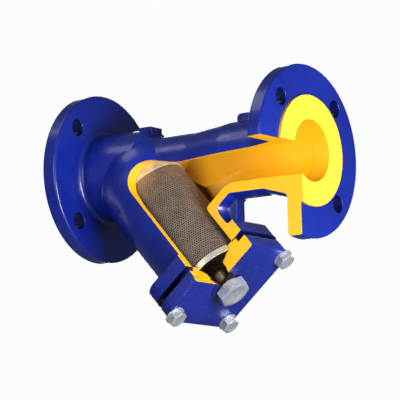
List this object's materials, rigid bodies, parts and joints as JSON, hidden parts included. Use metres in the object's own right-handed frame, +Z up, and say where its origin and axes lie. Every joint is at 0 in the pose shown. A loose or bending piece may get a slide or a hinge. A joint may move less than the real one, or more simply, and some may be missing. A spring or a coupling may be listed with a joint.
{
  "type": "y strainer",
  "caption": "Flanged Y strainer cut open for display: a slanting leg holds a removable perforated screen under a bolted cover with a hexagon drain plug.",
  "frame": {"origin": "centre of the inlet's raised face, on the pipe axis", "axes": "+X along the pipe from inlet to outlet, +Z up, away from the leg; the leg points down and towards the outlet in the XZ plane, and the display cut faces -Y"},
  "size_m": [0.29, 0.185, 0.269],
  "materials": {
    "cast_paint": "gloss blue enamel on cast iron, cut faces and waterways painted yellow",
    "gasket_fibre": "matt compressed fibre, painted over at the cut",
    "screen_steel": "perforated stainless sheet, stained brown",
    "band_steel": "satin stainless strip",
    "plated_steel": "bright zinc plate"
  },
  "bodies": {
    "casting": {"body_casting": "cast_paint"},
    "cover": {"cover": "cast_paint", "cover_gasket": "gasket_fibre"},
    "screen": {"screen_sheet": "screen_steel", "screen_top_band": "band_steel", "screen_bottom_band": "band_steel", "screen_seam_strip": "band_steel"},
    "plug_washer": {"drain_plug_washer": "plated_steel"},
    "plug": {"drain_plug": "plated_steel"},
    "bolt_washer_1": {"cover_bolt_washer_1": "plated_steel"},
    "bolt_1": {"cover_bolt_1": "plated_steel"},
    "bolt_washer_2": {"cover_bolt_washer_2": "plated_steel"},
    "bolt_2": {"cover_bolt_2": "plated_steel"},
    "bolt_washer_3": {"cover_bolt_washer_3": "plated_steel"},
    "bolt_3": {"cover_bolt_3": "plated_steel"}
  },
  "joints": [
    {"name": "cover_removal", "type": "slide", "parent": "casting", "child": "cover", "axis": [0.6428, 0, -0.766], "range_m": [0, 0.3]},
    {"name": "screen_removal", "type": "slide", "parent": "casting", "child": "screen", "axis": [0.6428, 0, -0.766], "range_m": [0, 0.15]},
    {"name": "drain_plug_withdrawal", "type": "slide", "parent": "cover", "child": "plug_washer", "axis": [0.6428, 0, -0.766], "range_m": [0, 0.0187]},
    {"name": "drain_plug_turn", "type": "hinge", "parent": "plug_washer", "child": "plug", "pos_m": [0.17986, 0, -0.1339], "axis": [0.6428, 0, -0.766], "range_deg": [0, 5040]},
    {"name": "cover_bolt_1_withdrawal", "type": "slide", "parent": "cover", "child": "bolt_washer_1", "axis": [0.6428, 0, -0.766], "range_m": [0, 0.0175]},
    {"name": "cover_bolt_1_turn", "type": "hinge", "parent": "bolt_washer_1", "child": "bolt_1", "pos_m": [0.21701, 0.0485, -0.10273], "axis": [0.6428, 0, -0.766], "range_deg": [0, 3605]},
    {"name": "cover_bolt_2_withdrawal", "type": "slide", "parent": "cover", "child": "bolt_washer_2", "axis": [0.6428, 0, -0.766], "range_m": [0, 0.0175]},
    {"name": "cover_bolt_2_turn", "type": "hinge", "parent": "bolt_washer_2", "child": "bolt_2", "pos_m": [0.14271, 0.0485, -0.16508], "axis": [0.6428, 0, -0.766], "range_deg": [0, 3605]},
    {"name": "cover_bolt_3_withdrawal", "type": "slide", "parent": "cover", "child": "bolt_washer_3", "axis": [0.6428, 0, -0.766], "range_m": [0, 0.0175]},
    {"name": "cover_bolt_3_turn", "type": "hinge", "parent": "bolt_washer_3", "child": "bolt_3", "pos_m": [0.14271, -0.0485, -0.16508], "axis": [0.6428, 0, -0.766], "range_deg": [0, 3605]}
  ],
  "couplings": [
    {"joint": "screen_removal", "follows": "cover_removal", "ratio": 0.5},
    {"joint": "drain_plug_turn", "follows": "drain_plug_withdrawal", "rad_per_m": 4699.5},
    {"joint": "cover_bolt_1_turn", "follows": "cover_bolt_1_withdrawal", "rad_per_m": 3590.4},
    {"joint": "cover_bolt_2_turn", "follows": "cover_bolt_2_withdrawal", "rad_per_m": 3590.4},
    {"joint": "cover_bolt_3_turn", "follows": "cover_bolt_3_withdrawal", "rad_per_m": 3590.4}
  ]
}
